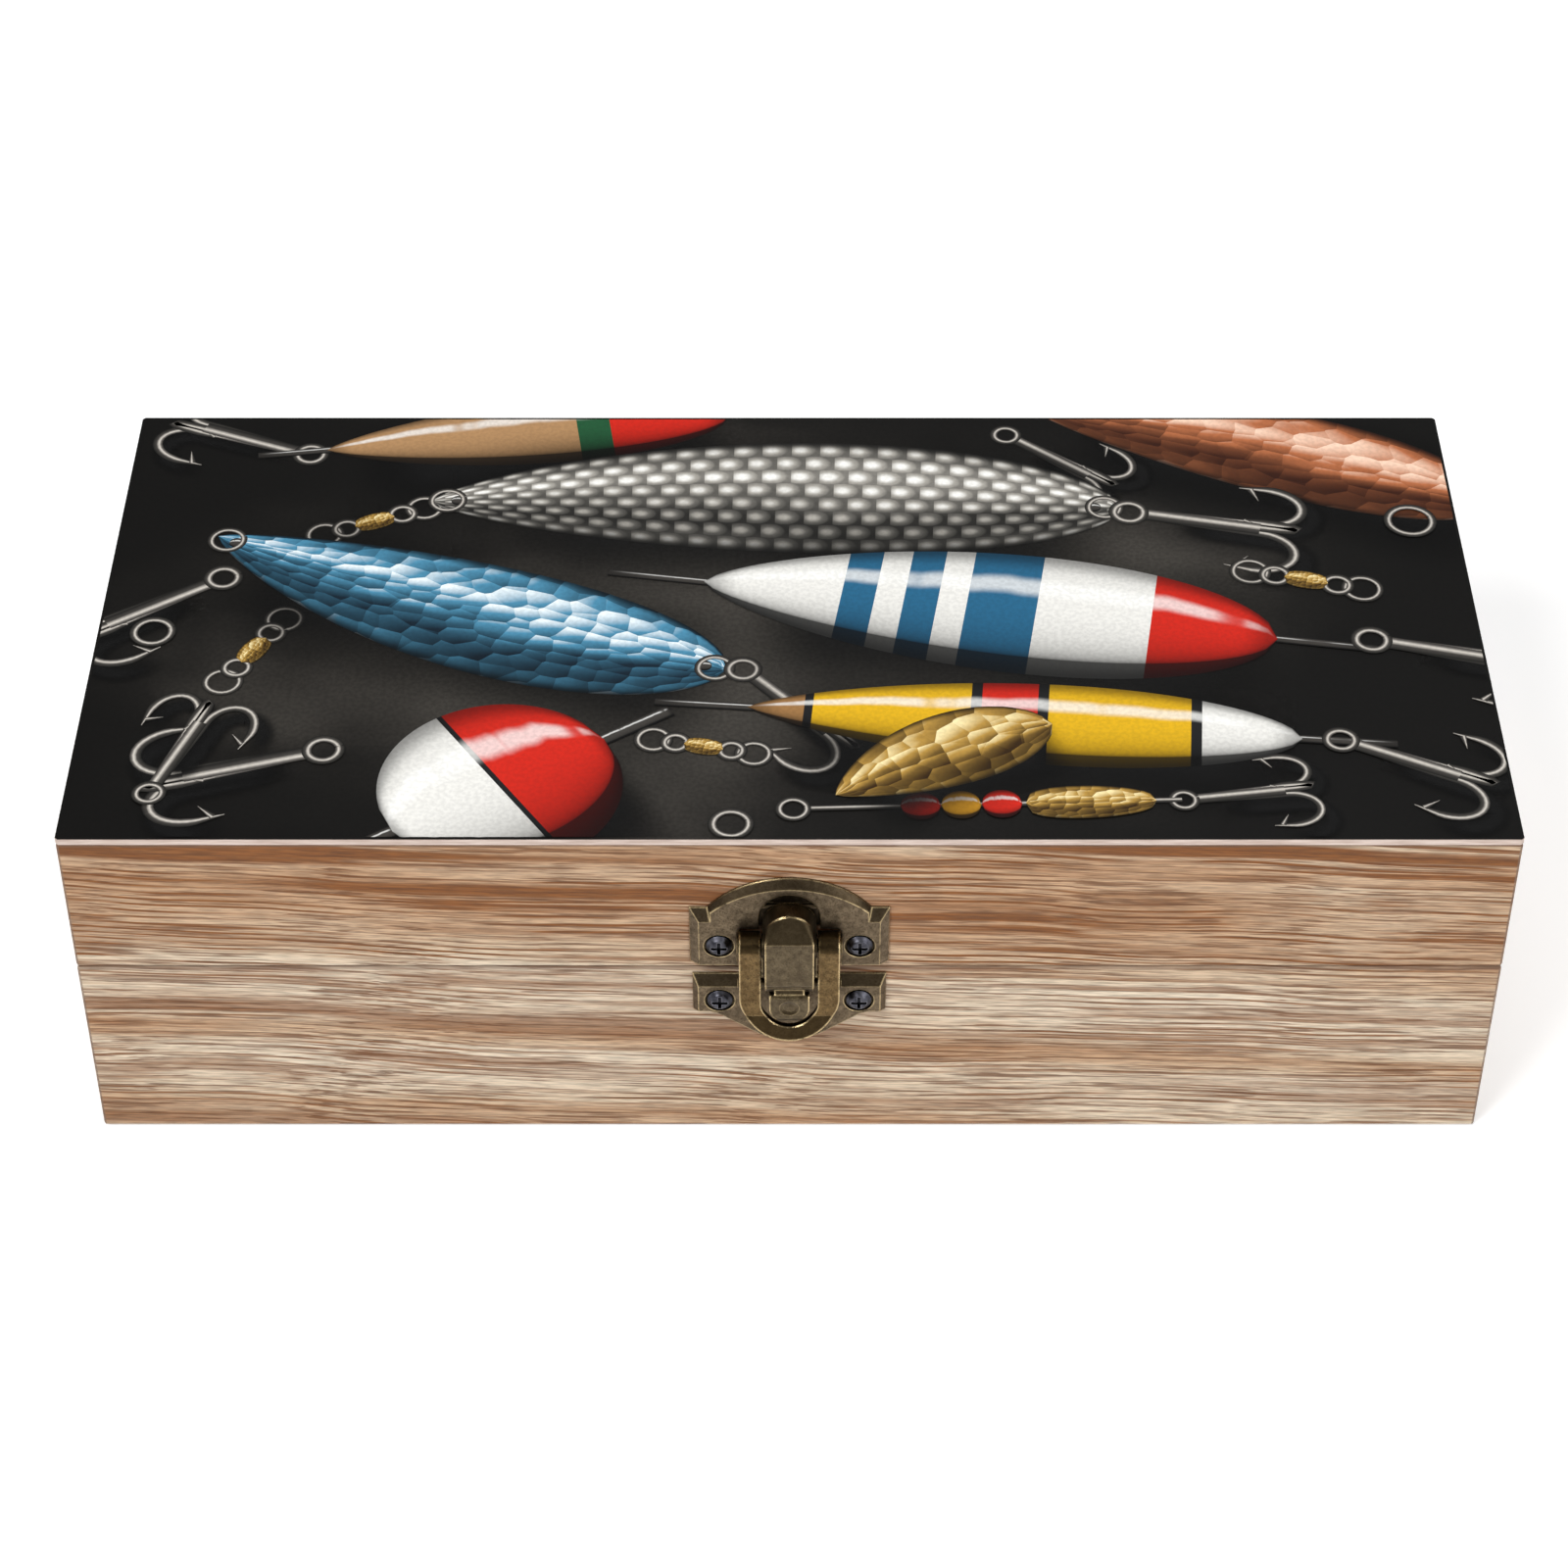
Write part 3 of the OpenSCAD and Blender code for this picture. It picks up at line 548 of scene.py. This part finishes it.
def wire_paint(b, light):
    """Bright wire, dark along both sides."""
    return b.ramp(b.math("MULTIPLY_ADD", light["Across"], 0.5, 0.5),
                  [(0.0, (0.006, 0.006, 0.005)), (0.40, (0.055, 0.050, 0.045)), (0.66, (0.62, 0.58, 0.52)),
                   (0.84, (0.12, 0.11, 0.10)), (1.0, (0.02, 0.018, 0.016))])


RED, WHITE, BLACK = (0.60, 0.020, 0.010), (0.80, 0.79, 0.75), (0.012, 0.012, 0.013)
DEEP_BLUE, MOSS = (0.020, 0.125, 0.24), (0.015, 0.09, 0.035)
YELLOW, AMBER = (0.72, 0.42, 0.012), (0.62, 0.30, 0.02)
TURNED_WOOD, CORK, STEM_BROWN = (0.33, 0.17, 0.06), (0.42, 0.24, 0.11), (0.05, 0.045, 0.04)
# each metal's dark, pale and bright reflections
SILVER = (0.020, 0.019, 0.017), (0.40, 0.38, 0.34), (0.90, 0.89, 0.85)
BRASS = (0.035, 0.016, 0.003), (0.46, 0.27, 0.055), (0.92, 0.78, 0.42)
COPPER = (0.040, 0.010, 0.004), (0.46, 0.15, 0.060), (0.94, 0.66, 0.50)
BLUED = (0.004, 0.014, 0.026), (0.070, 0.255, 0.400), (0.82, 0.90, 0.93)
paints = {
    "wire": wire_paint,
    "silver": plated(*SILVER, scales, 0.55, 24.0, 4.0),
    "brass": plated(*BRASS, facets, 0.45, 9.0, 2.6),
    "copper": plated(*COPPER, facets, 0.25, 16.0, 3.4),
    "blue": plated(*BLUED, facets, 0.40, 20.0, 4.2),
    "float_red": bands([(0.0, WHITE), (0.49, BLACK), (0.515, RED)]),
    "float_slim": bands([(0.0, TURNED_WOOD), (0.10, BLACK), (0.115, YELLOW), (0.40, BLACK), (0.42, RED),
                         (0.52, BLACK), (0.54, YELLOW), (0.80, BLACK), (0.82, WHITE)]),
    "float_blue": bands([(0.0, WHITE), (0.24, DEEP_BLUE), (0.30, WHITE), (0.35, DEEP_BLUE), (0.41, WHITE),
                         (0.46, DEEP_BLUE), (0.58, WHITE), (0.78, RED)]),
    "cork": bands([(0.0, CORK), (0.62, MOSS), (0.70, RED)]),
    "bead_red": bands([(0.0, RED)]),
    "bead_amber": bands([(0.0, AMBER)]),
    "stem": bands([(0.0, STEM_BROWN)]),
}
inks = {name: make_ink("ink_" + name, paint) for name, paint in paints.items()}
inks["shadow"] = make_ink_shadow()


# Printed motifs, laid flat on the lid

PRINT_FOOT, INK_LAYER = 0.00001, 0.0000012      # metres: above the sheet, and from one motif to the next
PRINT_MARGIN = 0.00042                          # metres: from the sheet's edge, inside its eased arris
print_parts = []


def station(path, t):
    """The point and the left-hand direction at share t of a path of points in millimetres."""
    spans = [math.dist(p, q) for p, q in zip(path, path[1:])]
    left = t * sum(spans)
    for i, span in enumerate(spans):
        if left <= span or i == len(spans) - 1:
            break
        left -= span
    p, q = path[i], path[i + 1]
    share = min(left / span, 1.0)
    dx, dy = (q[0] - p[0]) / span, (q[1] - p[1]) / span
    return (p[0] + (q[0] - p[0]) * share, p[1] + (q[1] - p[1]) * share), (-dy, dx)


def lay(path, half_width, ink, along=24, across=2):
    """A printed shape over the earlier ones: a flat grid bent along a path, as wide as half_width says."""
    bpy.ops.object.select_all(action="DESELECT")
    bpy.ops.mesh.primitive_grid_add(x_subdivisions=along, y_subdivisions=across, size=1, location=(0, 0, 0))
    shape = bpy.context.object
    height = LID_TOP + PRINT_FOOT + len(print_parts) * INK_LAYER
    for vertex in shape.data.vertices:
        t, side = min(max(vertex.co.x + 0.5, 0.0), 1.0), min(max(vertex.co.y * 2, -1.0), 1.0)
        (x, y), (nx, ny) = station(path, t)
        w = half_width(t) * side
        vertex.co = ((x + nx * w) * MM, (y + ny * w) * MM, height)
    end, front = HALF_LENGTH - PRINT_MARGIN, HALF_DEPTH - PRINT_MARGIN
    if any(abs(v.co.x) > end or abs(v.co.y) > front for v in shape.data.vertices):
        bpy.ops.object.mode_set(mode="EDIT")
        for nx, ny, edge in ((1, 0, end), (-1, 0, end), (0, 1, front), (0, -1, front)):
            bpy.ops.mesh.select_all(action="SELECT")
            bpy.ops.mesh.bisect(plane_co=(nx * edge, ny * edge, 0), plane_no=(nx, ny, 0), clear_outer=True)
        bpy.ops.object.mode_set(mode="OBJECT")
    if not shape.data.polygons:
        bpy.data.objects.remove(shape)
        return
    shape.data.materials.append(inks[ink])
    print_parts.append(shape)


def placed(x, y, angle, size=1.0):
    """The place of a motif: turns points along and across it into points on the sheet."""
    cosine, sine = math.cos(math.radians(angle)), math.sin(math.radians(angle))
    return lambda u, v: (x + (u * cosine - v * sine) * size, y + (u * sine + v * cosine) * size)


def line(x, y, angle, length, bow=0.0, steps=12):
    """A gently bowed path through (x, y), in millimetres and degrees."""
    at = placed(x, y, angle)
    shares = [i / steps - 0.5 for i in range(steps + 1)]
    return [at(share * length, bow * (1 - 4 * share * share)) for share in shares]


def arc_path(x, y, radius, start, end, steps=20):
    """An arc round (x, y), in millimetres and degrees."""
    turns = [math.radians(start + (end - start) * i / steps) for i in range(steps + 1)]
    return [(x + radius * math.cos(turn), y + radius * math.sin(turn)) for turn in turns]


def egg(width, fullness=0.62, lean=0.0):
    """A blade's outline: round ends, fullest past the middle if it leans."""
    def half(t):
        s = min(max(t, 0.0), 1.0) ** (1.0 + lean)
        return width * max(4 * s * (1 - s), 0.0) ** fullness + 0.02
    return half


def round_half(radius):
    """A disc's outline."""
    return lambda t: radius * math.sqrt(max(1 - (2 * t - 1) ** 2, 0)) + 0.02


def shadow_under(path, width, drop=(3.5, -4.5), grow=1.7):
    """The soft shadow that a motif casts on the print's ground, moved by drop."""
    lay([(x + drop[0], y + drop[1]) for x, y in path], lambda t: width * grow, "shadow", 16, 2)


def ring(x, y, radius, wire=0.5):
    """A wire ring, whose ends overlap."""
    lay(arc_path(x, y, radius, 20, 380), lambda t: wire, "wire", 24, 2)


def ball(x, y, angle, radius, ink):
    """A disc with a round body's light on it."""
    lay(line(x, y, angle, 2 * radius), round_half(radius), ink, 16, 8)


def swivel(x, y, angle, size=1.0):
    """Two eyes on a short barrel, and a split ring at each end."""
    at = placed(x, y, angle, size)
    for along in (-7.2, 7.2):
        ring(*at(along, 0), 2.3 * size, 0.5)
    for along in (-4.0, 4.0):
        ring(*at(along, 0), 1.7 * size, 0.55)
    lay(line(x, y, angle, 5.6 * size), egg(1.7 * size, 0.3), "brass", 12, 6)


def treble(x, y, angle, size=1.0):
    """A three-pointed hook: an eye, a shank and three bends that spread, with barbed points."""
    at = placed(x, y, angle, size)
    shank, bow, point = 15.0, 4.6, 11.6         # where the bend starts, its depth, and where the point ends
    bends = []
    for lean, reach in ((1, 7.0), (-1, 7.0), (0.22, 5.0)):
        bend = [at(3.0, lean * 0.4), at(13, lean * 0.8)]
        for i in range(15):
            turn = math.radians(4 + 176 * i / 14)
            side = lean * (0.8 + reach * (1 - math.cos(turn)) / 2)
            bend.append(at(shank + bow * math.sin(turn), side))
        bend.append(at(point, lean * (0.8 + reach * 0.96)))
        bends.append((lean, reach, bend))
        if abs(lean) == 1:
            lay([(px + 1.4, py - 2.2) for px, py in bend], lambda t: 2.4 * size, "shadow", 24, 2)
    for lean, reach, bend in bends:
        lay(bend, lambda t: 0.66 * size * (1 - 0.85 * max(t - 0.86, 0) / 0.14), "wire", 34, 2)
        lay([at(12.9, lean * (0.8 + reach * 0.96)), at(14.2, lean * (0.8 + reach * 0.66))],
            lambda t: 0.42 * size * (1 - t) + 0.05, "wire", 3, 2)
    lay([at(u, 0) for u in (0.8, 6, 11, shank)], lambda t: 1.05 * size, "wire", 10, 2)
    ring(*at(-0.8, 0), 1.9 * size, 0.55 * size)


def spoon(x, y, angle, length, width, ink, bow, lean=0.35):
    """A metal blade with a dark hole and a split ring at each end."""
    path = line(x, y, angle, length, bow)
    shadow_under(path, width)
    lay(path, egg(width, 0.56, lean), ink, 56, 12)
    for share in (0.04, 0.96):
        (px, py), _ = station(path, share)
        ball(px, py, 0, 1.1, "stem")
        (qx, qy), _ = station(path, 0.5)
        gap = math.dist((px, py), (qx, qy))
        ring(px + (px - qx) / gap * 1.6, py + (py - qy) / gap * 1.6, 2.5, 0.5)


def round_float(x, y, angle, radius, ink):
    """A ball float in bands, with a stem at each end."""
    at = placed(x, y, angle)
    for side in (-1, 1):
        lay(line(*at(side * (radius + 5), 0), angle, 12), lambda t: 1.2, "stem", 6, 4)
    path = line(x, y, angle, 2 * radius)
    shadow_under(path, radius * 0.9, (5, -6.5), 1.3)
    lay(path, round_half(radius), ink, 48, 16)


def slim_float(x, y, angle, length, width, ink, fullness):
    """A slim float in bands, on a stem that runs through it."""
    lay(line(x, y, angle, length * 1.34), lambda t: 0.8, "stem", 10, 4)
    path = line(x, y, angle, length)
    shadow_under(path, width, (3, -5))
    lay(path, egg(width, fullness, 0.25), ink, 56, 12)


def spinner(x, y, angle, ink):
    """A spinning lure: a wire, beads, a body, a willow blade and a hook."""
    at = placed(x, y, angle)
    treble(*at(27, 0), angle + 6, 0.9)
    lay([at(-26, 0), at(26, 0)], lambda t: 0.5, "wire", 6, 2)
    ring(*at(-27.5, 0), 2.0)
    for i, bead in enumerate(("bead_red", "bead_amber", "bead_red")):
        ball(*at(-10 + 5.6 * i, 0), angle, 2.8, bead)
    lay(line(*at(13.5, 0), angle, 18), egg(3.3, 0.4, -0.2), "brass", 24, 8)
    blade = line(*at(-6, 9.5), angle + 24, 34, 1.5)
    shadow_under(blade, 7.0, (2.5, -3.5), 1.5)
    lay(blade, egg(7.4, 0.6, 0.3), ink, 40, 10)


treble(-74, 39, 158, 1.15)
slim_float(-40, 44, 8, 62, 8.0, "cork", 0.6)
spoon(72, 38, -20, 74, 10.5, "copper", 2.0)
treble(34, 43, -40, 1.0)
swivel(-62, 22, 24, 1.1)
spoon(-2, 26, -1, 104, 13.5, "silver", 2.0, 0.25)
treble(52, 24, -12, 1.25)
treble(-84, 8, 214, 1.2)
swivel(-77, -8, 62, 1.1)
spoon(-47, 3, -22, 82, 12.0, "blue", -2.5)
treble(-6, -13, -48, 1.15)
swivel(76, 8, -14, 1.15)
slim_float(29, 1, -9, 84, 13.5, "float_blue", 0.55)
treble(85, -6, -14, 1.25)
round_float(-40, -37, 34, 17.0, "float_red")
treble(-66, -30, 196, 1.25)
swivel(-12, -29, -12, 1.0)
slim_float(33, -24, -5, 78, 8.6, "float_slim", 0.6)
treble(78, -28, -26, 1.1)
spinner(28, -41, 2, "brass")
treble(-88, -38, 70, 1.0)
ring(93, 22, 3.4, 0.6)
ring(-92, -4, 2.8, 0.6)
ring(-8, -45, 2.6, 0.6)

# joining removes the joined parts, so both lists are made before the first join
shadow_parts = [part for part in print_parts if part.data.materials[0] == inks["shadow"]]
motif_parts = [part for part in print_parts if part.data.materials[0] != inks["shadow"]]
for name, wanted in (("lid_print_shadows", shadow_parts), ("lid_print_motifs", motif_parts)):
    bpy.ops.object.select_all(action="DESELECT")
    for part in wanted:
        part.select_set(True)
    bpy.context.view_layer.objects.active = wanted[0]
    bpy.ops.object.join()
    printed = bpy.context.object
    printed.name = name
    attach(printed, "lid")


# Finishes on the CAD nodes

finish = {
    front_wood: ["base_front", "lid_front"],
    back_wood: ["base_back", "lid_back"],
    side_wood: ["base_left", "base_right", "lid_left", "lid_right"],
    floor_wood: ["base_bottom", "lid_board"],
    printed_sheet: ["lid_print_sheet"],
    plate_bronze: ["latch_catch_plate", "latch_base_plate"],
    lever_bronze: ["latch_lever"],
    link_bronze: ["latch_link"],
    hinge_bronze: [f"hinge_{side}_{body}_leaf" for side in ("left", "right") for body in ("base", "lid")],
    pin_bronze: ["hinge_left_pin", "hinge_right_pin", "latch_lever_pin", "latch_link_pin"],
    screw_steel: ["hinge_base_screws", "hinge_lid_screws", "latch_catch_screws", "latch_base_screws"],
}
for material, names in finish.items():
    for name in names:
        for slot in nodes[name].material_slots:
            slot.material = material


# Floor, light and camera

FLOOR_SIZE, FLOOR_GAP = 24, 0.0001
CAMERA_PLACE, CAMERA_TILT, CAMERA_LENS = (-0.000746, -0.423742, 0.405865), 47.97, 86.571

bpy.ops.object.select_all(action="DESELECT")
bpy.ops.mesh.primitive_plane_add(size=FLOOR_SIZE, location=(0, 0, -FLOOR_GAP))
floor = bpy.context.object
floor.name = "studio_floor"
paper, b, shader = new_material("studio_paper")
seen = b.node("ShaderNodeLightPath").outputs
clear = b.math("MAXIMUM", seen["Is Camera Ray"], seen["Is Transmission Ray"])
direct = b.math("MAXIMUM", clear, seen["Is Glossy Ray"])
shader.inputs["Base Color"].default_value = (0.86, 0.86, 0.86, 1)
shader.inputs["Roughness"].default_value = 0.9
shader.inputs["Specular IOR Level"].default_value = 0.0
shader.inputs["Emission Color"].default_value = (1, 1, 1, 1)
away = b.vector("LENGTH", object_place(b))      # the lamps' light falls off far from the box
b.feed(shader.inputs["Emission Strength"], b.times(direct, b.spread(away, 0.25, 1.1, 0.34, 1.0)))
floor.data.materials.append(paper)

# a low bright backdrop under a dim ceiling, which darkens the bronze's upward faces in reflection, on top of
# the dark reflection painted on them
world = bpy.data.worlds.new("studio_world")
bpy.context.scene.world = world
world.use_nodes = True
b = Bench(world.node_tree)
background = next(n for n in world.node_tree.nodes if n.type == "BACKGROUND")
background.inputs["Color"].default_value = (1, 1, 1, 1)
height = b.split(b.node("ShaderNodeTexCoord").outputs["Generated"])[2]
seen = b.node("ShaderNodeLightPath").outputs
clear = b.math("MAXIMUM", seen["Is Camera Ray"], seen["Is Transmission Ray"])
backdrop = b.math("MAXIMUM", clear, b.times(seen["Is Glossy Ray"], b.spread(height, 0.02, 0.50, 1.0, 0.12)))
b.feed(background.inputs["Strength"], b.math("MAXIMUM", backdrop, b.spread(height, 0.0, 0.55, 0.34, 0.12)))


def soft_light(name, place, size, power, aim=(0, 0, 0.03)):
    """A round area lamp of size metres and power watts that points at the box."""
    bpy.ops.object.light_add(type="AREA", location=place)
    lamp = bpy.context.object
    lamp.name = name
    lamp.data.shape = "DISK"
    lamp.data.size = size
    lamp.data.energy = power
    way = [q - p for p, q in zip(place, aim)]
    flat = math.hypot(way[0], way[1])
    lamp.rotation_euler = (math.atan2(flat, -way[2]), 0, math.atan2(-way[0], way[1]))


soft_light("key_light", (-0.55, -0.60, 0.95), 0.55, 10.5)
soft_light("fill_light", (0.75, -0.65, 0.55), 0.70, 5.6)
soft_light("top_light", (0.10, 0.45, 1.10), 0.80, 5.0)

# the photograph's camera, solved from the box's corners in it
bpy.ops.object.camera_add(location=CAMERA_PLACE, rotation=(math.radians(CAMERA_TILT), 0, 0))
camera = bpy.context.object
camera.data.lens = CAMERA_LENS
camera.data.sensor_width = 36.0
camera.data.clip_start = 0.01
bpy.context.scene.camera = camera
bpy.context.scene.view_settings.view_transform = "Standard"
